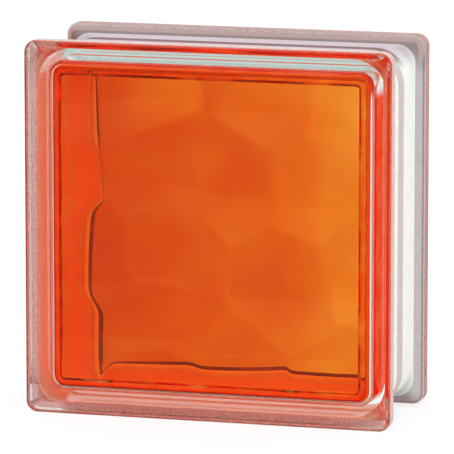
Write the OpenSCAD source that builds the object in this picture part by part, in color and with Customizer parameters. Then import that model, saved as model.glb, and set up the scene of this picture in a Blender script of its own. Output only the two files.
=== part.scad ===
// Hollow glass block: two pressed glass halves fused at a mid-depth seam into one
// sealed body. Each face has a rim flange that overhangs a recessed skirt, and the
// ring groove between the two flanges takes mortar and a reinforcing rod.
// The inside of each face is moulded with soft, cloud-like waves.
// Origin at the middle of the footprint, +Z up, front face towards -Y, millimetres.

/* [Block] */
// Width across the faces
block_w = 190; // [150:1:300]
// Height of the faces
block_h = 190; // [150:1:300]
// Depth from face to face
block_d = 80; // [66:1:110]

/* [Flange] */
// Thickness of the rim flange, from the face to the foot of its sloping back
flange_t = 12.5; // [11:0.1:15]
// Rounding of the flange's corners, seen from the front
flange_corner_r = 6; // [6:0.5:16]
// Rounding of the flange's edge at the face
flange_edge_r = 1; // [0.5:0.1:3]
// Rounding of the flange's edge at the groove
flange_back_r = 1.5; // [0.8:0.1:2]
// Angle of the flange's back, which slopes from its edge down to the skirt
flange_slope = 42; // [30:1:50]

/* [Groove] */
// Depth of the mortar groove below the flange
groove_deep = 4.7; // [3.5:0.1:5.8]
// Rounding of the skirt's corners at the bottom of the groove
skirt_corner_r = 17; // [12:0.5:24]
// Fillet between the skirt and the flange's back
groove_fillet_r = 3; // [1:0.1:4]

/* [Seam] */
// Width of the fused bead round the outside
seam_w = 10; // [4:0.5:16]
// Height of the fused bead round the outside
seam_h = 0.6; // [0.3:0.1:1.5]
// Width of the fused bead round the inside
inner_seam_w = 7; // [2:0.5:10]
// Height of the fused bead round the inside
inner_seam_h = 1.4; // [0.3:0.1:2]

/* [Cavity] */
// Thickness of the faces just outside the wavy field
face_t = 7.5; // [7:0.1:11]
// Thickness of the side walls where they leave the faces
wall_face_t = 5.9; // [5.5:0.1:9]
// Thickness of the side walls at the seam
wall_seam_t = 5.3; // [4.5:0.1:5.4]
// Rounding of the cavity's corners at the seam, seen from the front
cavity_corner_r = 8; // [7:0.5:16]
// Rounding of the wavy field's corners
plate_corner_r = 2; // [1:0.5:6]
// Width of the round cove between the side walls and the faces, along the face
cove_w = 6; // [4:0.1:8]
// Depth of that cove, along the side wall
cove_d = 6; // [3:0.1:8]

/* [Waves] */
// Radius of curvature of a wave's back
wave_r = 140; // [110:5:300]
// Height by which the middle of the wave backs stands above the border of the field
wave_rise = 2.4; // [0.5:0.1:3]
// Height over which neighbouring waves melt into each other
wave_melt = 0.25; // [0.2:0.05:1]
// Width of the narrow step round the wavy field
wave_bevel = 1; // [0.5:0.1:3]
// Cells across the wavy face, between the corner bands
wave_cells = 26; // [16:1:32]

/* [Hidden] */
$fn = 64;

// How far one solid is sunk into the next where they are fused
weld = 0.15;
// Cells across the rounded corner band of the cavity
corner_cells = 3;
// Steps across the cove
cove_steps = 4;
// Steps up the inside bead
bead_steps = 3;
quarter_turn = 90;
eighth_turn = 45;
half_turn = 180;

skirt_w = block_w - 2 * groove_deep;
skirt_h = block_h - 2 * groove_deep;
skirt_d = block_d - 2 * flange_t;
seam_r = (pow(seam_w / 2, 2) + pow(seam_h, 2)) / (2 * seam_h);

// Middle of the rounding at the flange's groove edge, in the flange's section
back_centre = [
    flange_corner_r - flange_back_r,
    ((groove_deep - flange_back_r) * sin(flange_slope) + flange_back_r) / cos(flange_slope)
];
// How far the groove's fillet reaches up the slope and along the skirt
fillet_reach = groove_fillet_r * tan((quarter_turn - flange_slope) / 2);

// Half sizes of the cavity at the seam, and of the wavy field
cavity_seam_half = [skirt_w / 2 - wall_seam_t, skirt_h / 2 - wall_seam_t];
cavity_draft = wall_face_t - wall_seam_t;
plate_inset = cavity_draft + cove_w + wave_bevel;
plate_half = [for (half = cavity_seam_half) half - plate_inset];
plate_z = block_d / 2 - face_t;

// Middles of the wave backs, as shares of the field's half width and half height
wave_shares = [
    [-1.00, 0.90], [-0.45, 0.95], [0.40, 0.90], [0.95, 0.80],
    [-1.15, 0.30], [-0.25, 0.40], [0.15, 0.35], [0.70, 0.30],
    [-0.85, -0.25], [-0.25, -0.20], [0.55, -0.30], [1.05, -0.20],
    [-1.00, -0.60], [-0.30, -0.60], [-0.25, -1.00], [0.10, -0.95], [1.00, -0.95]
];

// Soft maximum of the round wave backs, as a height above the border of the field
function wave_height(x, y, turned) =
    let (
        at = turned ? [y, -x] : [x, y],
        half = turned ? [plate_half.y, plate_half.x] : plate_half,
        backs = [for (share = wave_shares)
            let (dx = at.x - share.x * half.x, dy = at.y - share.y * half.y)
            exp((wave_rise - (dx * dx + dy * dy) / (2 * wave_r)) / wave_melt)]
    )
    wave_melt * ln(backs * [for (back = backs) 1]);

function face_z(x, y, turned) = plate_z - wave_height(x, y, turned);

// Lines of the face grid along one side, from -half to half: even cells between the
// corner bands, and finer ones inside each band
function grid_lines(half, band) = [
    for (i = [0 : corner_cells - 1]) -half + band * i / corner_cells,
    for (i = [0 : wave_cells]) (2 * i / wave_cells - 1) * (half - band),
    for (i = [1 : corner_cells]) half - band + band * i / corner_cells
];
grid_n = wave_cells + 2 * corner_cells;

// A point of a square-cornered grid, with its corner bands bent round to radius r
function round_corner(x, y, half, r) =
    let (
        dx = abs(x) - (half.x - r),
        dy = abs(y) - (half.y - r),
        reach = max(dx, dy),
        turn = dx >= dy ? eighth_turn * dy / dx : quarter_turn - eighth_turn * dx / dy
    )
    dx <= 0 || dy <= 0 ? [x, y]
    : [sign(x) * (half.x - r + reach * cos(turn)), sign(y) * (half.y - r + reach * sin(turn))];

plate_points = [
    for (y = grid_lines(plate_half.y, plate_corner_r))
    for (x = grid_lines(plate_half.x, plate_corner_r))
    round_corner(x, y, plate_half, plate_corner_r)
];

// The border of the grid, once round anticlockwise, as pairs of line numbers
border_steps = [
    for (i = [0 : grid_n - 1]) [i, 0],
    for (i = [0 : grid_n - 1]) [grid_n, i],
    for (i = [0 : grid_n - 1]) [grid_n - i, grid_n],
    for (i = [0 : grid_n - 1]) [0, grid_n - i]
];
border_n = len(border_steps);

// One ring of the side wall, inset from the seam's outline, at depth z. Its corners
// tighten from the seam towards the wavy field
function wall_ring(inset, z) =
    let (
        half = [for (seam_half = cavity_seam_half) seam_half - inset],
        r = cavity_corner_r + (plate_corner_r - cavity_corner_r) * inset / plate_inset,
        lines_x = grid_lines(half.x, r),
        lines_y = grid_lines(half.y, r)
    )
    [for (step = border_steps)
        let (p = round_corner(lines_x[step.x], lines_y[step.y], half, r))
        [p.x, p.y, z]];

// Inset and depth of each ring, from the front cove over the seam to the back one
cove_rings = [
    for (i = [0 : cove_steps])
    let (turn = quarter_turn * i / cove_steps)
    [cavity_draft + cove_w * (1 - sin(turn)), plate_z - cove_d * (1 - cos(turn))]
];
bead_rings = [
    for (i = [0 : bead_steps - 1])
    let (share = i / bead_steps)
    [inner_seam_h * (1 - cos(half_turn * share)) / 2, inner_seam_w / 2 * (1 - share)]
];
half_rings = concat(cove_rings, bead_rings);
wall_rings = concat(
    half_rings,
    [[inner_seam_h, 0]],
    [for (i = [len(half_rings) - 1 : -1 : 0]) [half_rings[i].x, -half_rings[i].y]]
);
ring_n = len(wall_rings);

function grid_index(column, row) = row * (grid_n + 1) + column;

// The sealed hollow, as one closed surface: front face, side walls, back face
module cavity() {
    plate_count = len(plate_points);
    back_start = plate_count;
    ring_start = 2 * plate_count;
    points = concat(
        [for (p = plate_points) [p.x, p.y, face_z(p.x, p.y, false)]],
        [for (p = plate_points) [p.x, p.y, -face_z(p.x, p.y, true)]],
        [for (ring = wall_rings) each wall_ring(ring.x, ring.y)]
    );
    // The strip between two neighbouring rings, the plates' borders among them
    function border_point(ring, i) =
        let (step = border_steps[i % border_n])
        ring < 0 ? grid_index(step.x, step.y)
        : ring == ring_n ? back_start + grid_index(step.x, step.y)
        : ring_start + ring * border_n + i % border_n;
    faces = [
        for (row = [0 : grid_n - 1], column = [0 : grid_n - 1])
        let (
            a = grid_index(column, row),
            b = grid_index(column + 1, row),
            c = grid_index(column + 1, row + 1),
            d = grid_index(column, row + 1),
            split = (column < grid_n / 2) == (row < grid_n / 2)
        )
        each split ? [[a, c, b], [a, d, c], [back_start + a, back_start + b, back_start + c],
                      [back_start + a, back_start + c, back_start + d]]
                   : [[a, d, b], [b, d, c], [back_start + a, back_start + b, back_start + d],
                      [back_start + b, back_start + c, back_start + d]],
        for (ring = [-1 : ring_n - 1], i = [0 : border_n - 1])
        let (
            a = border_point(ring, i),
            b = border_point(ring, i + 1),
            c = border_point(ring + 1, i + 1),
            d = border_point(ring + 1, i)
        )
        each [[a, b, c], [a, c, d]]
    ];
    polyhedron(points, faces);
}

// Sweeps a profile round a rounded rectangle and fills the middle. The profile's x
// runs out from the corner axis, and its y along the depth, from 0 to depth
module swept_slab(w, h, corner_r, depth) {
    for (turn = [0 : 3]) {
        across = turn % 2 == 0 ? w : h;
        along = turn % 2 == 0 ? h : w;
        rotate([0, 0, quarter_turn * turn])
        translate([across / 2 - corner_r, 0, 0]) {
            rotate([quarter_turn, 0, 0])
            linear_extrude(along - 2 * corner_r, center = true)
            children();
            translate([0, along / 2 - corner_r, 0])
            rotate_extrude(angle = quarter_turn)
            children();
        }
    }
    translate([0, 0, depth / 2])
    cube([w - 2 * corner_r, h - 2 * corner_r, depth], center = true);
}

// Half section of a flange: its back slopes out from the skirt to a rounded edge, a
// narrow flat rim follows, and the edge at the face is rounded
module flange_profile() {
    rim_y = flange_t - flange_edge_r;
    face_x = flange_corner_r - flange_edge_r;
    polygon([
        [0, 0],
        [flange_corner_r - groove_deep, 0],
        back_centre + flange_back_r * [sin(flange_slope), -cos(flange_slope)],
        back_centre,
        [flange_corner_r, back_centre.y],
        [flange_corner_r, rim_y],
        [face_x, rim_y],
        [face_x, flange_t],
        [0, flange_t]
    ]);
    translate(back_centre)
    circle(flange_back_r);
    translate([face_x, rim_y])
    circle(flange_edge_r);
}

module flange() {
    swept_slab(block_w, block_h, flange_corner_r, flange_t)
    flange_profile();
}

// Section of the groove's fillet, from the skirt up the flange's slope. Its origin is
// at the foot of the slope
module groove_fillet() {
    slope_end = fillet_reach * [cos(flange_slope), -sin(flange_slope)];
    difference() {
        polygon([
            [-weld, fillet_reach],
            [0, fillet_reach],
            slope_end,
            slope_end - weld * [sin(flange_slope), cos(flange_slope)],
            [-weld, -weld]
        ]);
        translate([groove_fillet_r, fillet_reach])
        circle(groove_fillet_r);
    }
}

// Half section of the skirt: flat, with a low fused bead at mid-depth and a fillet
// up to the flange at each end
module skirt_profile() {
    depth = skirt_d + 2 * weld;
    square([skirt_corner_r, depth]);
    translate([0, depth / 2])
    intersection() {
        translate([skirt_corner_r + seam_h - seam_r, 0])
        circle(seam_r);
        translate([skirt_corner_r - seam_h, -seam_w])
        square([2 * seam_h, 2 * seam_w]);
    }
    for (end = [0, 1])
    translate([skirt_corner_r, end * depth])
    mirror([0, end])
    translate([0, weld])
    groove_fillet();
}

module skirt() {
    translate([0, 0, -skirt_d / 2 - weld])
    swept_slab(skirt_w, skirt_h, skirt_corner_r, skirt_d + 2 * weld)
    skirt_profile();
}

// The whole fused body, stood on the lower edges of its two flanges
module glass_block() {
    color("darkorange", 0.7)
    translate([0, 0, block_h / 2])
    rotate([quarter_turn, 0, 0])
    difference() {
        union() {
            for (side = [0, 1])
            mirror([0, 0, side])
            translate([0, 0, block_d / 2 - flange_t])
            flange();
            skirt();
        }
        cavity();
    }
}

glass_block();
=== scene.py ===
import math

import bpy
import numpy as np
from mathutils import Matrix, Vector


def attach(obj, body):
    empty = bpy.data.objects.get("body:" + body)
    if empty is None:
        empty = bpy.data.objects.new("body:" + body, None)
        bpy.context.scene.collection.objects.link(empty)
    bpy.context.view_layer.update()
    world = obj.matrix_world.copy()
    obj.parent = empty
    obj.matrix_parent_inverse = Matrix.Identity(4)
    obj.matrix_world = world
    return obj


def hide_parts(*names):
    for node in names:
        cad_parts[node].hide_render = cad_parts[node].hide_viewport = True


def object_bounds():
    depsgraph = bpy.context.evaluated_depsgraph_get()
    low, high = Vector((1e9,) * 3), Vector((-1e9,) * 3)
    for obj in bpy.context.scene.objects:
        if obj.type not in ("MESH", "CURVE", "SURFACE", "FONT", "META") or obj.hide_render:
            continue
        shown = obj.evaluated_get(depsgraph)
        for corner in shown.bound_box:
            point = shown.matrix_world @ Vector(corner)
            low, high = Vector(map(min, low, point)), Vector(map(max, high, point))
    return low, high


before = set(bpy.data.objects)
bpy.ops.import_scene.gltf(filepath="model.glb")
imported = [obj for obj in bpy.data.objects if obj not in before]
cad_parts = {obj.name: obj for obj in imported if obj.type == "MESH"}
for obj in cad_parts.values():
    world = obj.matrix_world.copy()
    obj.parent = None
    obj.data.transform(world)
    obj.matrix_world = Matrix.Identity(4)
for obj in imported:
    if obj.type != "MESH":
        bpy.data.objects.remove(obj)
cad_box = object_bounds()

# Sizes in metres: the block's own from the frame, to the micrometre, and the rest as in the part's source
FRAME_DIGITS = 6
BLOCK_W, BLOCK_D, BLOCK_H = (round(high - low, FRAME_DIGITS) for low, high in zip(*cad_box))
FLANGE_T, FLANGE_CORNER_R, FLANGE_EDGE_R, FLANGE_BACK_R = 0.0125, 0.006, 0.0010, 0.0015
FLANGE_SLOPE = math.radians(42)
GROOVE_DEEP, SKIRT_CORNER_R, GROOVE_FILLET_R = 0.0047, 0.017, 0.003
SEAM_W, SEAM_H, INNER_SEAM_W, INNER_SEAM_H = 0.010, 0.0006, 0.007, 0.0014
FACE_T, WALL_FACE_T, WALL_SEAM_T = 0.0075, 0.0059, 0.0053
CAVITY_CORNER_R, PLATE_CORNER_R = 0.008, 0.002
COVE_W, COVE_D = 0.006, 0.006
WAVE_R, WAVE_RISE, WAVE_MELT, WAVE_BEVEL = 0.140, 0.0024, 0.00025, 0.0010
WAVE_SHARES = [
    (-1.00, 0.90), (-0.45, 0.95), (0.40, 0.90), (0.95, 0.80),
    (-1.15, 0.30), (-0.25, 0.40), (0.15, 0.35), (0.70, 0.30),
    (-0.85, -0.25), (-0.25, -0.20), (0.55, -0.30), (1.05, -0.20),
    (-1.00, -0.60), (-0.30, -0.60), (-0.25, -1.00), (0.10, -0.95), (1.00, -0.95),
]

# How finely the visual mesh follows those shapes
ARC_STEPS = 8
SIDE_STEPS = 12
WAVE_CELLS = 110
CORNER_CELLS = 4
GRID_CELLS = WAVE_CELLS + 2 * CORNER_CELLS
WALL_STEPS = 6
COVE_STEPS = 12
BEAD_STEPS = 8
# How far along the wall its turn into the cove is rounded
CREASE_SHARE = 0.012
# Distances below this count as none
TINY = 1e-12

# Share of the flange's slope that belongs to the darker rim
RIM_SHARE = 0.25

# Material slots of the block
CLEAR, EDGE_FRONT, EDGE_BACK, GRIT_FRONT, GRIT_BACK, RIM, SLOPE, COAT = range(8)
FRONT_FILM, BACK_FILM, POOL_FILM, LINE_FILM, STEP_FILM = range(8, 13)
WALL_FILM, CORNER_FILM, FOOT_FILM, BEAD_FILM = range(13, 17)

# Rows of faces from a wavy field to the seam at which the film changes, in front, behind and on both sides
LINE_ROWS, CORNER_ROW = (0, 4), 7
POOL_ROWS, FOOT_END_ROW = (6, 7), COVE_STEPS + 2
BEAD_ROW = COVE_STEPS + WALL_STEPS + 2

cavity_draft = WALL_FACE_T - WALL_SEAM_T
plate_inset = cavity_draft + COVE_W + WAVE_BEVEL
seam_half = np.array([BLOCK_W / 2, BLOCK_H / 2]) - GROOVE_DEEP - WALL_SEAM_T
plate_half = seam_half - plate_inset
plate_depth = BLOCK_D / 2 - FACE_T


# Outside of the block

def rounded_ring(inset, corner_r):
    """Points of a rounded rectangle, once round anticlockwise, and the direction straight out at each."""
    half = np.array([BLOCK_W / 2 - inset, BLOCK_H / 2 - inset])
    points, outwards = [], []
    for turn in range(4):
        angle = turn * math.pi / 2
        along_half = half[(turn + 1) % 2] - corner_r
        across = half[turn % 2]
        for step in range(SIDE_STEPS):
            along = along_half * (2 * step / SIDE_STEPS - 1)
            points.append(rotated(across, along, angle))
            outwards.append(rotated(1, 0, angle))
        for step in range(ARC_STEPS):
            bend = math.pi / 2 * step / ARC_STEPS
            reach = across - corner_r + corner_r * math.cos(bend)
            points.append(rotated(reach, along_half + corner_r * math.sin(bend), angle))
            outwards.append(rotated(math.cos(bend), math.sin(bend), angle))
    return points, outwards


def rotated(x, z, angle):
    return (x * math.cos(angle) - z * math.sin(angle), x * math.sin(angle) + z * math.cos(angle))


def arc(centre_inset, centre_depth, r, start, end, corner_at_centre):
    """Rings round an edge: inset, depth, corner radius, and the normal's share outwards and in depth."""
    rings = []
    for step in range(ARC_STEPS + 1):
        angle = start + (end - start) * step / ARC_STEPS
        out, deep = math.cos(angle), math.sin(angle)
        rings.append((centre_inset - r * out, centre_depth + r * deep, corner_at_centre + r * out, out, deep))
    return rings


def outer_rings():
    """Rings from the front face's border to the seam. Depth is 0 at mid-depth and positive to the front."""
    right = math.pi / 2
    edge = FLANGE_EDGE_R
    front = BLOCK_D / 2
    foot = front - FLANGE_T
    lean_in = math.cos(FLANGE_SLOPE)
    lean_out = math.sin(FLANGE_SLOPE)
    rings = arc(edge, front - edge, edge, right, 0, FLANGE_CORNER_R - edge)
    back_r = FLANGE_BACK_R
    back_centre = foot + ((GROOVE_DEEP - back_r) * lean_out + back_r) / lean_in
    rings += arc(back_r, back_centre, back_r, 0, FLANGE_SLOPE - right, FLANGE_CORNER_R - back_r)
    fillet_r = GROOVE_FILLET_R
    fillet_centre = foot - fillet_r * (1 - lean_out) / lean_in
    fillet = arc(GROOVE_DEEP - fillet_r, fillet_centre, fillet_r, right + FLANGE_SLOPE, math.pi, 0)
    slope_start, slope_end = np.array(rings[-1]), np.array(fillet[0])
    inset, depth = (slope_start + RIM_SHARE * (slope_end - slope_start))[:2]
    rings.append((inset, depth, FLANGE_CORNER_R - inset, *rings[-1][3:]))
    for step, (inset, depth, _, out, deep) in enumerate(fillet):
        share = step / ARC_STEPS
        corner = (1 - share) * (FLANGE_CORNER_R - inset) + share * SKIRT_CORNER_R
        rings.append((inset, depth, corner, -out, -deep))
    seam_r = ((SEAM_W / 2) ** 2 + SEAM_H ** 2) / (2 * SEAM_H)
    lean = math.asin(SEAM_W / 2 / seam_r)
    rings.append((GROOVE_DEEP, SEAM_W / 2 + SEAM_H, SKIRT_CORNER_R, 1, 0))
    rings += arc(GROOVE_DEEP - SEAM_H + seam_r, 0, seam_r, lean, 0, SKIRT_CORNER_R + SEAM_H - seam_r)
    return rings


class MeshParts:
    """Points, normals, faces and each face's material slot, gathered for one mesh."""

    def __init__(self):
        self.points, self.normals, self.faces, self.slots = [], [], [], []

    def add(self, points, normals):
        start = len(self.points)
        self.points += [tuple(p) for p in points]
        self.normals += [tuple(n) for n in normals]
        return start

    def face(self, corners, slot):
        self.faces.append(tuple(int(c) for c in corners))
        self.slots.append(slot)


def to_row(x, z, depth):
    """From the block's own middle, with depth towards the front, to the row frame."""
    return (x, -depth, z + BLOCK_H / 2)


def outside_slot(row, at_front):
    """Material slot of a row of faces, counted from the nearer face to the seam."""
    arc_rows = ARC_STEPS + 1
    rim_row = 2 * arc_rows - 1
    slope_end_row = 2 * arc_rows + ARC_STEPS // 2
    if row > slope_end_row:
        return COAT
    if row > rim_row:
        return SLOPE
    if row == rim_row:
        return RIM
    if row >= ARC_STEPS:
        return GRIT_FRONT if at_front else GRIT_BACK
    return EDGE_FRONT if at_front else EDGE_BACK


def add_outside(parts):
    half_rings = outer_rings()
    mirrored = [(inset, -depth, corner, out, -deep) for inset, depth, corner, out, deep in half_rings[-2::-1]]
    rings = half_rings + mirrored
    starts = []
    for inset, depth, corner, out, deep in rings:
        points, outwards = rounded_ring(inset, corner)
        places = [to_row(x, z, depth) for x, z in points]
        normals = [(out * ox, -deep, out * oz) for ox, oz in outwards]
        starts.append(parts.add(places, normals))
    count = 4 * (SIDE_STEPS + ARC_STEPS)
    last_row = len(rings) - 2
    for row in range(len(rings) - 1):
        from_face = min(row, last_row - row)
        slot = outside_slot(from_face, at_front=row == from_face)
        for i in range(count):
            j = (i + 1) % count
            corners = (starts[row] + j, starts[row] + i, starts[row + 1] + i, starts[row + 1] + j)
            parts.face(corners, slot)
    parts.face([starts[0] + i for i in range(count)], CLEAR)
    parts.face([starts[-1] + i for i in reversed(range(count))], CLEAR)


# Inside of the block

def wave_height(x, z, turned):
    """Soft maximum of the round wave backs, as a height above the mean face."""
    if turned:
        x, z = z, -x
    total = np.zeros_like(x)
    for share_x, share_z in WAVE_SHARES:
        away = (x - share_x * plate_half[0]) ** 2 + (z - share_z * plate_half[1]) ** 2
        total += np.exp((WAVE_RISE - away / (2 * WAVE_R)) / WAVE_MELT)
    return WAVE_MELT * np.log(total)


def grid_lines(half, band):
    """Places of the grid's lines across a side: even in the middle, and a few in the band at each end."""
    middle = np.linspace(-(half - band), half - band, WAVE_CELLS + 1)
    last = np.linspace(half - band, half, CORNER_CELLS + 1)[1:]
    return np.concatenate([-last[::-1], middle, last])


def bent_corners(x, z, half, r):
    """Points of a square-cornered grid, with its corner bands bent round to radius r."""
    dx = np.abs(x) - (half[0] - r)
    dz = np.abs(z) - (half[1] - r)
    inside = (dx <= TINY) | (dz <= TINY)
    reach = np.maximum(dx, dz)
    span = np.where(inside, 1.0, np.maximum(reach, TINY))
    turn = np.where(dx >= dz, math.pi / 4 * dz / span, math.pi / 2 - math.pi / 4 * dx / span)
    round_x = np.sign(x) * (half[0] - r + reach * np.cos(turn))
    round_z = np.sign(z) * (half[1] - r + reach * np.sin(turn))
    return np.where(inside, x, round_x), np.where(inside, z, round_z)


def cavity_rings():
    """Inset from the seam's outline and depth of each ring, from the front cove to the back one."""
    rings = []
    for step in range(COVE_STEPS + 1):
        turn = math.pi / 2 * step / COVE_STEPS
        inset = cavity_draft + COVE_W * (1 - math.sin(turn))
        rings.append((inset, plate_depth - COVE_D * (1 - math.cos(turn))))
    top_inset, top_depth = rings[-1]
    for step in range(WALL_STEPS + 1):
        share = step / WALL_STEPS if step else CREASE_SHARE
        rings.append((top_inset * (1 - share), top_depth + (INNER_SEAM_W / 2 - top_depth) * share))
    for step in range(1, BEAD_STEPS + 1):
        share = step / BEAD_STEPS
        rings.append((INNER_SEAM_H * (1 - math.cos(math.pi * share)) / 2, INNER_SEAM_W / 2 * (1 - share)))
    return rings + [(inset, -depth) for inset, depth in rings[-2::-1]]


def film_slot(row, at_front):
    """Material slot of a row of faces, counted from the wavy field of the nearer face to the seam."""
    if row >= BEAD_ROW:
        return BEAD_FILM
    if at_front:
        if row in LINE_ROWS:
            return LINE_FILM
        if row < max(LINE_ROWS):
            return STEP_FILM
        return CORNER_FILM if CORNER_ROW <= row <= COVE_STEPS else WALL_FILM
    if row in POOL_ROWS:
        return POOL_FILM
    if row < min(POOL_ROWS):
        return BACK_FILM
    return FOOT_FILM if row <= FOOT_END_ROW else WALL_FILM


def smooth_normals(points, faces):
    """Normal at each point: that of the faces round it, by their area."""
    corners = points[faces]
    across = np.cross(corners[:, 2] - corners[:, 0], corners[:, 3] - corners[:, 1])
    normals = np.zeros_like(points)
    for k in range(4):
        np.add.at(normals, faces[:, k], across)
    return normals / np.linalg.norm(normals, axis=1)[:, None]


def grid_border():
    """Columns and rows of the grid's points, once round its border."""
    steps = np.arange(GRID_CELLS)
    first, last = np.zeros_like(steps), np.full_like(steps, GRID_CELLS)
    columns = np.concatenate([steps, last, GRID_CELLS - steps, first])
    rows = np.concatenate([first, steps, last, GRID_CELLS - steps])
    return columns, rows


def cavity_places(rings, columns, rows):
    """Points of the front and the back wavy field, and then of the rings between them."""
    lines_x = grid_lines(plate_half[0], PLATE_CORNER_R)
    lines_z = grid_lines(plate_half[1], PLATE_CORNER_R)
    grid_x, grid_z = bent_corners(*np.meshgrid(lines_x, lines_z), plate_half, PLATE_CORNER_R)
    places = []
    for turned, side in ((False, 1), (True, -1)):
        depth = side * (plate_depth - wave_height(grid_x, grid_z, turned))
        places += [to_row(x, z, d) for x, z, d in zip(grid_x.ravel(), grid_z.ravel(), depth.ravel())]
    for inset, depth in rings:
        half = seam_half - inset
        r = CAVITY_CORNER_R + (PLATE_CORNER_R - CAVITY_CORNER_R) * inset / plate_inset
        ring_x, ring_z = bent_corners(grid_lines(half[0], r)[columns], grid_lines(half[1], r)[rows], half, r)
        places += [to_row(x, z, depth) for x, z in zip(ring_x, ring_z)]
    return places


def cavity_faces(ring_count, columns, rows):
    """Corners of each face of the hollow, and its material slot."""
    faces, slots = [], []
    n = GRID_CELLS + 1
    back = n * n
    for row in range(GRID_CELLS):
        for column in range(GRID_CELLS):
            a = row * n + column
            faces.append((a, a + n, a + n + 1, a + 1))
            faces.append((back + a, back + a + 1, back + a + n + 1, back + a + n))
            slots += [FRONT_FILM, BACK_FILM]
    round_count = len(columns)
    plate_border = rows * n + columns
    loops = [plate_border]
    loops += [2 * n * n + k * round_count + np.arange(round_count) for k in range(ring_count)]
    loops.append(back + plate_border)
    last_row = len(loops) - 2
    for row, (near, far) in enumerate(zip(loops[:-1], loops[1:])):
        from_face = min(row, last_row - row)
        slot = film_slot(from_face, at_front=row == from_face)
        for i in range(round_count):
            j = (i + 1) % round_count
            faces.append((near[i], near[j], far[j], far[i]))
            slots.append(slot)
    return faces, slots


def add_cavity(parts):
    columns, rows = grid_border()
    rings = cavity_rings()
    places = cavity_places(rings, columns, rows)
    faces, slots = cavity_faces(len(rings), columns, rows)
    start = parts.add(places, smooth_normals(np.array(places), np.array(faces)))
    for corners, slot in zip(faces, slots):
        parts.face([start + c for c in corners], slot)


def build_block():
    parts = MeshParts()
    add_outside(parts)
    add_cavity(parts)
    mesh = bpy.data.meshes.new("block")
    mesh.from_pydata(parts.points, [], parts.faces)
    mesh.polygons.foreach_set("material_index", parts.slots)
    mesh.polygons.foreach_set("use_smooth", [True] * len(parts.faces))
    mesh.update()
    mesh.normals_split_custom_set_from_vertices(parts.normals)
    block = bpy.data.objects.new("block", mesh)
    bpy.context.scene.collection.objects.link(block)
    return block


# Materials

# Glass: its refraction, and its tint in the middle, in the rim and where light runs along the top
GLASS_IOR = 1.52
MIDDLE_TINT, RIM_TINT, TOP_TINT = (0.97, 0.99, 0.975), (0.95, 0.99, 0.965), (0.27, 0.42, 0.41)
# Distances in from the outline between which the rim's tint comes in
RIM_TINT_START, RIM_TINT_END = 0.0155, 0.0105
# Heights from the block's middle between which the top's tint comes in
TOP_TINT_START, TOP_TINT_END = 0.074, 0.079
# Painted shade: the dark line that the light leaves along a rounded outer edge, painted as a tint in the
# glass of that edge
EDGE_SHADE = (0.50, 0.30, 0.27)

# Coat and grit: colour of the gritty edges and the rim as seen from within the glass, pinker than the grit
# is, a painted glow of the orange light in the hollow
GRIT_AND_GLOW_INSIDE = (0.88, 0.66, 0.62)
# Streaks and grain: size of the features, and for the streaks their detail and darkest shade
STREAK_SIZE, STREAK_DETAIL, STREAK_SHADE = 0.004, 3, 0.94
GRAIN_SIZE = 0.0006
# How flatly the coat is met from within, between which more of it is bare
BARE_START, BARE_END = 0.4, 0.7
# Half the width of the diagonal belt in which its painted light changes from the lower left to the upper
# right
COAT_TURN = 0.005
# Heights from the block's middle between which the edges turn into the top, with its painted light and shade
TOP_START, TOP_END = 0.080, 0.089
# Bands of painted shade: along the sides the seam bead's greyer shade, on top a dark band for the bead's dark
# refraction there, and on top a dark line in the crease at the slope's foot. Each: how far behind mid-depth
# the middle is, half width, width of the soft edge, colour, and whether the band is the one on top
SEAM_SHADE_BAND = (-0.001, 0.006, 0.0012, (0.53, 0.50, 0.515), False)
TOP_SHADE_BAND = (0.0095, 0.0066, 0.0035, (0.24, 0.165, 0.17), True)
SLOPE_FOOT_SHADE = (0.0275, 0.0018, 0.0010, (0.20, 0.08, 0.075), True)

# Orange film: colour left in the light by one pass at an even density, on the faces and the side walls
FRONT_FILM_COLOUR = (0.99, 0.36, 0.05)
BACK_FILM_COLOUR = (0.86, 0.36, 0.05)
WALL_FILM_COLOUR = np.array([1.0, 0.38, 0.045])
# Density on the front face, the side walls, their front end and the inside bead
FRONT_DENSITY, WALL_DENSITY, CORNER_DENSITY, BEAD_DENSITY = 0.65, 0.8, 2.0, 0.6
# How many times denser the film of a side wall is at a slant
SLANT_DENSITY = 1.3
# Density on the back face: in the middle, and its fall per metre to the right
BACK_DENSITY, BACK_FALL = 1.56, 10.9
# Darker and lighter patches in the back face's film, of more and less density: middle across and up, radius,
# and added density
BACK_PATCHES = [
    ((-0.036, 0.062), 0.030, -0.50),
    ((-0.022, 0.066), 0.018, 0.20),
    ((-0.008, 0.040), 0.020, 0.25),
    ((0.000, 0.022), 0.020, 0.22),
    ((0.030, 0.045), 0.040, 0.15),
    ((0.018, -0.028), 0.042, 0.45),
    ((0.066, 0.060), 0.030, -0.20),
    ((-0.060, -0.025), 0.050, 0.15),
    ((-0.050, 0.082), 0.040, -0.25),
    ((0.030, 0.082), 0.050, -0.25),
]
# Where the film has run together into a line
FILM_POOLED = (0.26, 0.006, 0.001)
# The thinner lines of it round the front face's step and cove, and the film between them
FILM_LINE, FILM_STEP = (0.60, 0.09, 0.01), (0.99, 0.25, 0.04)
# Half the width of the diagonal belt in which a line changes from the lower left to the upper right
LINE_TURN = 0.02
# Where it lies thick at the foot of the side walls, behind, and the share of it that is clear
FILM_FOOT, FOOT_CLEAR_SHARE = (0.98, 0.38, 0.065), 0.3
# Share of the side walls' film that scatters the light in the hollow
WALL_MILKY_SHARE = 0.85
# Soft clouds in the film of the faces, walls, foot and lines: size, and share by which the density wanders
FACE_CLOUDS, WALL_CLOUDS = (0.030, 0.12), (0.012, 0.15)
FOOT_CLOUDS, LINE_CLOUDS = (0.006, 0.10), (0.010, 0.25)
# Part of a noise that is used, for soft clouds and for grain, and its detail
CLOUD_RANGE, GRAIN_RANGE, NOISE_DETAIL = (0.3, 0.7), (0.48, 0.66), 2

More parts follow.
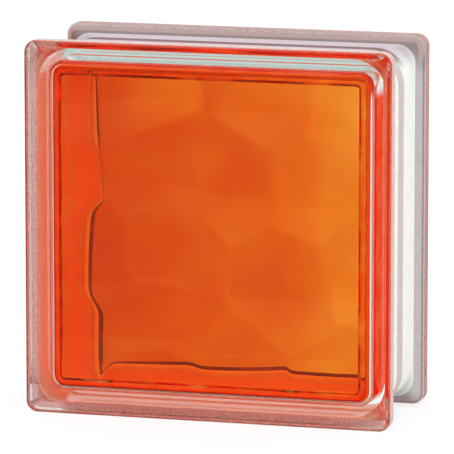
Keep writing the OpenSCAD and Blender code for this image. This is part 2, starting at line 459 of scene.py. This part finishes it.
# Colour of the side walls' film in light that the glass mirrors: at a slant, more flatly and almost along it
FILM_MIRRORED = (0.97, 0.62, 0.52)
FILM_DEEP = (0.97, 0.08, 0.025)
FILM_GLANCING = (0.95, 0.97, 0.96)
# The same in the right-hand corner of the hollow, where the film is thin, and in the upper corner
FILM_RIGHT = (0.97, 0.90, 0.86)
FILM_TOP = (0.80, 0.065, 0.03)
# Distances from the middle between which the film turns into that of the right or the top
FILM_END_START, FILM_END = 0.070, 0.076
# How flatly the film is met, from 0 straight on to 1 along it, up to where it has its plain colour,
# and in the hollow between which it deepens
PLAIN_END = 0.22
HOLLOW_START, HOLLOW_END = 0.3, 0.7
# The mirrored colours by how flatly the film is met
MIRRORED_STOPS = [
    (0.27, FILM_MIRRORED), (0.72, FILM_MIRRORED),
    (0.76, FILM_DEEP), (0.868, FILM_DEEP),
    (0.885, FILM_GLANCING), (1.0, FILM_GLANCING),
]
RIGHT_CORNER_STOPS = [(0.27, FILM_RIGHT), (1.0, FILM_RIGHT)]
TOP_CORNER_STOPS = [(0.27, FILM_TOP), (0.50, FILM_TOP), (0.56, FILM_MIRRORED)] + MIRRORED_STOPS[1:]
TOP_WALL_STOPS = MIRRORED_STOPS[:2] + [(0.76, FILM_GLANCING), (1.0, FILM_GLANCING)]


class Material:
    """A new material's node tree, with the few node steps used below."""

    def __init__(self, name):
        self.material = bpy.data.materials.new(name)
        self.material.use_nodes = True
        self.nodes = self.material.node_tree.nodes
        self.links = self.material.node_tree.links
        self.nodes.clear()
        self.output = self.nodes.new("ShaderNodeOutputMaterial")

    def finish(self, shader):
        self.links.new(shader.outputs[0], self.output.inputs["Surface"])
        return self.material

    def set(self, socket, value):
        """Links another node's output, or sets a plain value."""
        if isinstance(value, bpy.types.NodeSocket):
            self.links.new(value, socket)
        else:
            socket.default_value = value

    def math(self, operation, first, second):
        step = self.nodes.new("ShaderNodeMath")
        step.operation = operation
        self.set(step.inputs[0], first)
        self.set(step.inputs[1], second)
        return step.outputs[0]

    def ramp(self, value, low, high, at_low, at_high):
        """A smooth change from one value to another."""
        step = self.nodes.new("ShaderNodeMapRange")
        step.interpolation_type = "SMOOTHSTEP"
        self.set(step.inputs["Value"], value)
        for name, number in (("From Min", low), ("From Max", high), ("To Min", at_low), ("To Max", at_high)):
            step.inputs[name].default_value = number
        return step.outputs[0]

    def place(self):
        """Place on the block, from its middle, as one vector and as across, deep and up."""
        place = self.nodes.new("ShaderNodeTexCoord")
        from_middle = self.nodes.new("ShaderNodeVectorMath")
        from_middle.operation = "SUBTRACT"
        from_middle.inputs[1].default_value = (0, 0, BLOCK_H / 2)
        self.links.new(place.outputs["Object"], from_middle.inputs[0])
        split = self.nodes.new("ShaderNodeSeparateXYZ")
        self.links.new(from_middle.outputs[0], split.inputs[0])
        return (from_middle.outputs[0], *split.outputs)

    def noise(self, size, detail):
        """Soft noise with features of the given size in metres."""
        texture = self.nodes.new("ShaderNodeTexNoise")
        texture.inputs["Scale"].default_value = 1 / size
        texture.inputs["Detail"].default_value = detail
        self.links.new(self.place()[0], texture.inputs["Vector"])
        return texture.outputs[0]

    def clouds(self, size, share):
        """1, and in soft clouds up to the given share more or less."""
        return self.ramp(self.noise(size, NOISE_DETAIL), *CLOUD_RANGE, 1 - share, 1 + share)

    def inside(self):
        """1 where the surface is met from within the glass."""
        return self.nodes.new("ShaderNodeNewGeometry").outputs["Backfacing"]

    def slant(self):
        """How flatly the surface is met, from 0 straight on to 1 along it."""
        step = self.nodes.new("ShaderNodeLayerWeight")
        step.inputs["Blend"].default_value = 0.5
        return step.outputs["Facing"]

    def mix_colour(self, share, first, second):
        step = self.nodes.new("ShaderNodeMix")
        step.data_type = "RGBA"
        self.set(step.inputs["Factor"], share)
        self.set(step.inputs["A"], first)
        self.set(step.inputs["B"], second)
        return step.outputs["Result"]

    def colour_ramp(self, value, stops):
        step = self.nodes.new("ShaderNodeValToRGB")
        elements = step.color_ramp.elements
        for position, _ in stops[2:]:
            elements.new(position)
        for element, (position, colour) in zip(elements, stops):
            element.position = position
            element.color = opaque(colour)
        self.set(step.inputs[0], value)
        return step.outputs["Color"]

    def film_colour(self, colour, density):
        """Colour left in the light by a film of the given density."""
        step = self.nodes.new("ShaderNodeGamma")
        self.set(step.inputs["Color"], colour)
        self.set(step.inputs["Gamma"], density)
        return step.outputs[0]

    def mix_shader(self, share, first, second):
        step = self.nodes.new("ShaderNodeMixShader")
        self.set(step.inputs[0], share)
        self.links.new(first.outputs[0], step.inputs[1])
        self.links.new(second.outputs[0], step.inputs[2])
        return step

    def shader(self, kind, colour):
        step = self.nodes.new(kind)
        self.set(step.inputs["Color"], colour)
        return step

    def glass(self, colour, roughness=0.0):
        step = self.shader("ShaderNodeBsdfGlass", colour)
        step.inputs["IOR"].default_value = GLASS_IOR
        step.inputs["Roughness"].default_value = roughness
        return step


def opaque(colour):
    return (*colour, 1)


def clear_glass():
    """Clear over the faces, and greener in the rim, where the light goes a long way through the glass."""
    made = Material("clear_glass")
    shader = made.nodes.new("ShaderNodeBsdfPrincipled")
    shader.inputs["Roughness"].default_value = 0.0
    shader.inputs["IOR"].default_value = GLASS_IOR
    shader.inputs["Transmission Weight"].default_value = 1.0
    _, across, _, up = made.place()
    reach = made.math("MAXIMUM", made.math("ABSOLUTE", across, 0), made.math("ABSOLUTE", up, 0))
    in_rim = made.ramp(reach, BLOCK_W / 2 - RIM_TINT_START, BLOCK_W / 2 - RIM_TINT_END, 0, 1)
    along_top = made.math("MULTIPLY", made.inside(), made.ramp(up, TOP_TINT_START, TOP_TINT_END, 0, 1))
    rim_colour = made.mix_colour(along_top, opaque(RIM_TINT), opaque(TOP_TINT))
    made.set(shader.inputs["Base Color"], made.mix_colour(in_rim, opaque(MIDDLE_TINT), rim_colour))
    return made.finish(shader)


def coated(name, outside, inside, through_share, roughness, bare_outside, bare_inside, bare_glancing,
           specks=(0, 0), painted_light_cover=0, low=None, top=None, bands=()):
    """Glass under a thin layer of coat or grit that is bare in part, more so met flatly from within.

    It has dark specks, outside and within. On the left and below, a given share of its bare part is covered,
    and it can have
    another colour from within there: painted light and orange glow where the light falls on those inner
    sides. It can have another colour on top, painted light and shade, and bands of painted shade along the
    block, on top or elsewhere.
    """
    made = Material(name)
    _, across, deep, up = made.place()
    within = made.inside()
    streaks = made.ramp(made.noise(STREAK_SIZE, STREAK_DETAIL), *CLOUD_RANGE, STREAK_SHADE, 1)
    grain = made.ramp(made.noise(GRAIN_SIZE, NOISE_DETAIL), *GRAIN_RANGE, 0, 1)
    darkness = made.math("ADD", specks[0], made.math("MULTIPLY", within, specks[1] - specks[0]))
    shade = made.math("MULTIPLY", streaks, made.math("SUBTRACT", 1, made.math("MULTIPLY", grain, darkness)))
    # Painted light and shade: another colour on top, for how the light falls on the upward faces
    at_top = made.ramp(up, TOP_START, TOP_END, 0, 1)
    colour = made.mix_colour(at_top, opaque(outside), opaque(top or outside))
    # Bands of painted shade along the block
    for middle, half, soft, band_colour, on_top in bands:
        from_band = made.math("ABSOLUTE", made.math("SUBTRACT", deep, middle), 0)
        in_band = made.ramp(from_band, half - soft, half, 1, 0)
        on_side = at_top if on_top else made.math("SUBTRACT", 1, at_top)
        colour = made.mix_colour(made.math("MULTIPLY", in_band, on_side), colour, opaque(band_colour))
    # Painted light: on the lower left, where the light falls on the inner sides, the coat can take a warmer
    # colour from within, a painted orange glow
    at_low = made.ramp(made.math("ADD", across, up), -COAT_TURN, COAT_TURN, 1, 0)
    colour = made.mix_colour(within, colour, made.mix_colour(at_low, opaque(inside), opaque(low or inside)))
    shaded = made.mix_colour(shade, (0, 0, 0, 1), colour)
    turned_back = made.shader("ShaderNodeBsdfDiffuse", shaded)
    let_through = made.shader("ShaderNodeBsdfTranslucent", shaded)
    layer = made.mix_shader(through_share, turned_back, let_through)
    bare_within = made.ramp(made.slant(), BARE_START, BARE_END, bare_inside, bare_glancing)
    bare = made.math("MULTIPLY", within, made.math("SUBTRACT", bare_within, bare_outside))
    bare = made.math("ADD", bare, bare_outside)
    # Painted light: on the lower left, that share of the bare part is covered by the coat
    covered = made.math("MULTIPLY", at_low, painted_light_cover)
    bare = made.math("SUBTRACT", bare, made.math("MULTIPLY", bare, covered))
    return made.finish(made.mix_shader(bare, layer, made.glass((1, 1, 1, 1), roughness)))


def edge_grit(name, outside):
    return coated(name, outside, inside=GRIT_AND_GLOW_INSIDE, through_share=0.4, roughness=0.08,
                  bare_outside=0.25, bare_inside=0.8, bare_glancing=0.8, specks=(0.45, 0.7), painted_light_cover=0.25)


def rim_glass():
    # Painted light: the rim is lighter and pinker on top, where the light falls
    return coated("rim_glass", outside=(0.24, 0.19, 0.18), inside=GRIT_AND_GLOW_INSIDE,
                  through_share=0.3, roughness=0.05, bare_outside=0.15, bare_inside=0.8, bare_glancing=0.8,
                  specks=(0.6, 0.7), painted_light_cover=0.25, top=(0.60, 0.45, 0.44))


def slope_glass():
    # Painted shade and glow: the slope's grey outside is the half shade of a white coat, and its pinker top,
    # its colour from within and its lower-left colour are painted orange glow
    return coated("slope_glass", outside=(0.38, 0.32, 0.35), inside=(0.92, 0.68, 0.64),
                  through_share=0.3, roughness=0.01, bare_outside=0.3, bare_inside=0.97, bare_glancing=0.97,
                  specks=(0, 0.65), painted_light_cover=0.8, low=(0.84, 0.51, 0.47), top=(0.44, 0.25, 0.24),
                  bands=[SLOPE_FOOT_SHADE])


def groove_coat():
    # Painted light and shade: lavender-grey on top for how the light falls there, warmer from within on the
    # lower left for the orange glow, and bands of painted shade at the seam and on top
    return coated("groove_coat", outside=(0.745, 0.82, 0.79), inside=(0.99, 0.98, 0.97),
                  through_share=0.12, roughness=0.03, bare_outside=0.05, bare_inside=0.05, bare_glancing=0.86,
                  painted_light_cover=0.7, low=(0.99, 0.83, 0.65), top=(0.58, 0.53, 0.58),
                  bands=[SEAM_SHADE_BAND, TOP_SHADE_BAND])


def face_film(name, film, density, fall=0.0, patches=()):
    """Orange film on a face, in soft clouds, lighter to the right where its density falls that way."""
    made = Material(name)
    _, across, _, up = made.place()
    even = made.math("MULTIPLY", made.clouds(*FACE_CLOUDS), density)
    total = made.math("SUBTRACT", even, made.math("MULTIPLY", across, fall))
    flat = made.nodes.new("ShaderNodeCombineXYZ")
    made.set(flat.inputs["X"], across)
    made.set(flat.inputs["Y"], up)
    for (x, z), radius, added in patches:
        away = made.nodes.new("ShaderNodeVectorMath")
        away.operation = "DISTANCE"
        made.set(away.inputs[0], flat.outputs[0])
        away.inputs[1].default_value = (x, z, 0)
        total = made.math("ADD", total, made.ramp(away.outputs["Value"], 0, radius, added, 0))
    return made.finish(made.glass(made.film_colour(opaque(film), total)))


def wall_film(name, density, right_stops=None, top_stops=None, milky=0):
    """Orange film on a side wall: deeper at a slant, and in mirrored light by how flatly it is met.

    To the right and on top, the mirrored light can have colours of its own. A milky share of the film
    scatters the light in the hollow.
    """
    made = Material(name)
    slant = made.slant()
    plain = WALL_FILM_COLOUR ** density
    slanted = WALL_FILM_COLOUR ** (SLANT_DENSITY * density)
    plain_stops = [(0.0, plain), (PLAIN_END, plain)]
    from_glass = made.colour_ramp(slant, plain_stops + MIRRORED_STOPS)
    _, across, _, up = made.place()
    for reach, end_stops in ((across, right_stops), (up, top_stops)):
        if end_stops:
            at_end = made.ramp(reach, FILM_END_START, FILM_END, 0, 1)
            from_glass = made.mix_colour(at_end, from_glass, made.colour_ramp(slant, plain_stops + end_stops))
    from_hollow = made.colour_ramp(slant, [(HOLLOW_START, plain), (HOLLOW_END, slanted)])
    even = made.mix_colour(made.inside(), from_hollow, from_glass)
    glass = made.glass(made.film_colour(even, made.clouds(*WALL_CLOUDS)))
    if not milky:
        return made.finish(glass)
    in_hollow = made.math("SUBTRACT", 1, made.inside())
    milk = made.shader("ShaderNodeBsdfDiffuse", opaque(FILM_FOOT))
    return made.finish(made.mix_shader(made.math("MULTIPLY", in_hollow, milky), glass, milk))


def foot_film():
    """Thick film at the foot of the side walls, which hides most of the glass behind it."""
    made = Material("film_foot")
    colour = made.film_colour(opaque(FILM_FOOT), made.clouds(*FOOT_CLOUDS))
    thick = made.shader("ShaderNodeBsdfDiffuse", colour)
    return made.finish(made.mix_shader(FOOT_CLEAR_SHARE, thick, made.glass(colour)))


def run_film(name, film, lower_left, upper_right):
    """A line of film, or along the rounded outer edges a line of painted shade, a little uneven along it,
    with a strength for the left and below, and for the rest.
    """
    made = Material(name)
    _, across, _, up = made.place()
    strength = made.ramp(made.math("ADD", across, up), -LINE_TURN, LINE_TURN, lower_left, upper_right)
    density = made.math("MULTIPLY", made.clouds(*LINE_CLOUDS), strength)
    return made.finish(made.glass(made.film_colour(opaque(film), density)))


def block_materials():
    """The block's materials, in the order of its slots."""
    return [
        clear_glass(),
        # Painted shade along the rounded outer edges: on the front strong on the lower left and faint on the
        # upper right, behind even all round
        run_film("edge_shade_front", EDGE_SHADE, lower_left=1, upper_right=0.1),
        run_film("edge_shade_back", EDGE_SHADE, lower_left=1, upper_right=1),
        edge_grit("edge_grit_front", outside=(0.86, 0.87, 0.84)),
        # Painted shade and glow: the back copy of the grit is darker and pinker outside than the front one
        edge_grit("edge_grit_back", outside=(0.60, 0.46, 0.46)),
        rim_glass(),
        slope_glass(),
        groove_coat(),
        face_film("film_front", FRONT_FILM_COLOUR, FRONT_DENSITY),
        face_film("film_back", BACK_FILM_COLOUR, BACK_DENSITY, BACK_FALL, BACK_PATCHES),
        run_film("film_pool", FILM_POOLED, lower_left=1, upper_right=1),
        run_film("film_line", FILM_LINE, lower_left=0.8, upper_right=0.6),
        run_film("film_step", FILM_STEP, lower_left=0.55, upper_right=1),
        wall_film("film_wall", WALL_DENSITY, top_stops=TOP_WALL_STOPS, milky=WALL_MILKY_SHARE),
        wall_film("film_corner", CORNER_DENSITY, RIGHT_CORNER_STOPS, TOP_CORNER_STOPS),
        foot_film(),
        wall_film("film_bead", BEAD_DENSITY),
    ]


block = build_block()
for material in block_materials():
    block.data.materials.append(material)
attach(block, "root")
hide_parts("glass_block")


# Floor, light and camera

# Half the floor's width, its grey, and its grey in light that the block mirrors
FLOOR_REACH, FLOOR_GREY, MIRRORED_GREY = 60.0, 0.88, 0.08
# How white the floor is of itself, seen straight and through the glass
FLOOR_WHITE_SHARE, FLOOR_WHITE_THROUGH = 0.7, 0.95
# The bright side of the studio: where its middle is, the light all round and there,
# and the cosines of the angle from its middle between which the light changes
KEY_AZIMUTH, KEY_ELEVATION = math.radians(38), math.radians(32)
FILL_LEVEL, KEY_LEVEL = 1.12, 1.55
KEY_EDGE, KEY_FULL = -0.5, 0.7
# Camera: its direction and distance from what it looks at, and its focal length and picture in pixels
CAMERA_AZIMUTH, CAMERA_ELEVATION = math.radians(15.89), math.radians(9.73)
CAMERA_DISTANCE = 2.517
CAMERA_TARGET = Vector((-0.0004, 0.0, 0.0927))
FOCAL_PX, PICTURE_PX = 4965, 454
SENSOR_WIDTH_MM = 36
CAMERA_CLIP_END = 100


def direction(azimuth, elevation):
    """Direction from the block, turned from the front to the right and raised."""
    level = math.cos(elevation)
    return Vector((math.sin(azimuth) * level, -math.cos(azimuth) * level, math.sin(elevation)))


def floor_paper():
    """White to the eye and through glass, with part of the block's shadow, and dim where glass mirrors it."""
    made = Material("floor_paper")
    path = made.nodes.new("ShaderNodeLightPath").outputs
    straight = made.math("MULTIPLY", path["Is Camera Ray"], FLOOR_WHITE_SHARE)
    through = made.math("MULTIPLY", path["Is Transmission Ray"], FLOOR_WHITE_THROUGH)
    lit = made.shader("ShaderNodeBsdfDiffuse", (FLOOR_GREY, FLOOR_GREY, FLOOR_GREY, 1))
    white = made.shader("ShaderNodeEmission", (1, 1, 1, 1))
    white.inputs["Strength"].default_value = 1.0
    seen = made.mix_shader(made.math("MAXIMUM", straight, through), lit, white)
    only_mirrored = made.math("SUBTRACT", path["Is Glossy Ray"], path["Is Transmission Ray"])
    mirrored = made.shader("ShaderNodeBsdfDiffuse", (MIRRORED_GREY, MIRRORED_GREY, MIRRORED_GREY, 1))
    return made.finish(made.mix_shader(made.math("MAXIMUM", only_mirrored, 0), seen, mirrored))


def build_floor():
    mesh = bpy.data.meshes.new("floor")
    reach = FLOOR_REACH
    corners = [(-reach, -reach, 0), (reach, -reach, 0), (reach, reach, 0), (-reach, reach, 0)]
    mesh.from_pydata(corners, [], [(0, 1, 2, 3)])
    mesh.materials.append(floor_paper())
    floor = bpy.data.objects.new("floor", mesh)
    bpy.context.scene.collection.objects.link(floor)


def build_world():
    """A soft studio: dimmer all round, with a wide bright side to the front right."""
    world = bpy.data.worlds.new("studio")
    bpy.context.scene.world = world
    world.use_nodes = True
    nodes = world.node_tree.nodes
    links = world.node_tree.links
    background = nodes["Background"]
    background.inputs["Color"].default_value = (1, 1, 1, 1)
    place = nodes.new("ShaderNodeTexCoord")
    towards_key = nodes.new("ShaderNodeVectorMath")
    towards_key.operation = "DOT_PRODUCT"
    towards_key.inputs[1].default_value = direction(KEY_AZIMUTH, KEY_ELEVATION)
    links.new(place.outputs["Generated"], towards_key.inputs[0])
    ramp = nodes.new("ShaderNodeMapRange")
    ramp.interpolation_type = "SMOOTHSTEP"
    ramp.inputs["From Min"].default_value = KEY_EDGE
    ramp.inputs["From Max"].default_value = KEY_FULL
    ramp.inputs["To Min"].default_value = FILL_LEVEL
    ramp.inputs["To Max"].default_value = KEY_LEVEL
    links.new(towards_key.outputs["Value"], ramp.inputs["Value"])
    links.new(ramp.outputs["Result"], background.inputs["Strength"])


def build_camera():
    back = direction(CAMERA_AZIMUTH, CAMERA_ELEVATION)
    data = bpy.data.cameras.new("camera")
    data.sensor_width = SENSOR_WIDTH_MM
    data.lens = FOCAL_PX / PICTURE_PX * SENSOR_WIDTH_MM
    data.clip_end = CAMERA_CLIP_END
    camera = bpy.data.objects.new("camera", data)
    camera.location = CAMERA_TARGET + back * CAMERA_DISTANCE
    camera.rotation_euler = back.to_track_quat("Z", "Y").to_euler()
    bpy.context.scene.collection.objects.link(camera)
    bpy.context.scene.camera = camera


build_floor()
build_world()
build_camera()

# The light crosses the glass and its film many times
scene = bpy.context.scene
scene.view_settings.view_transform = "Standard"
scene.cycles.max_bounces = 64
scene.cycles.glossy_bounces = 32
scene.cycles.transmission_bounces = 64
scene.cycles.diffuse_bounces = 24
scene.cycles.blur_glossy = 0
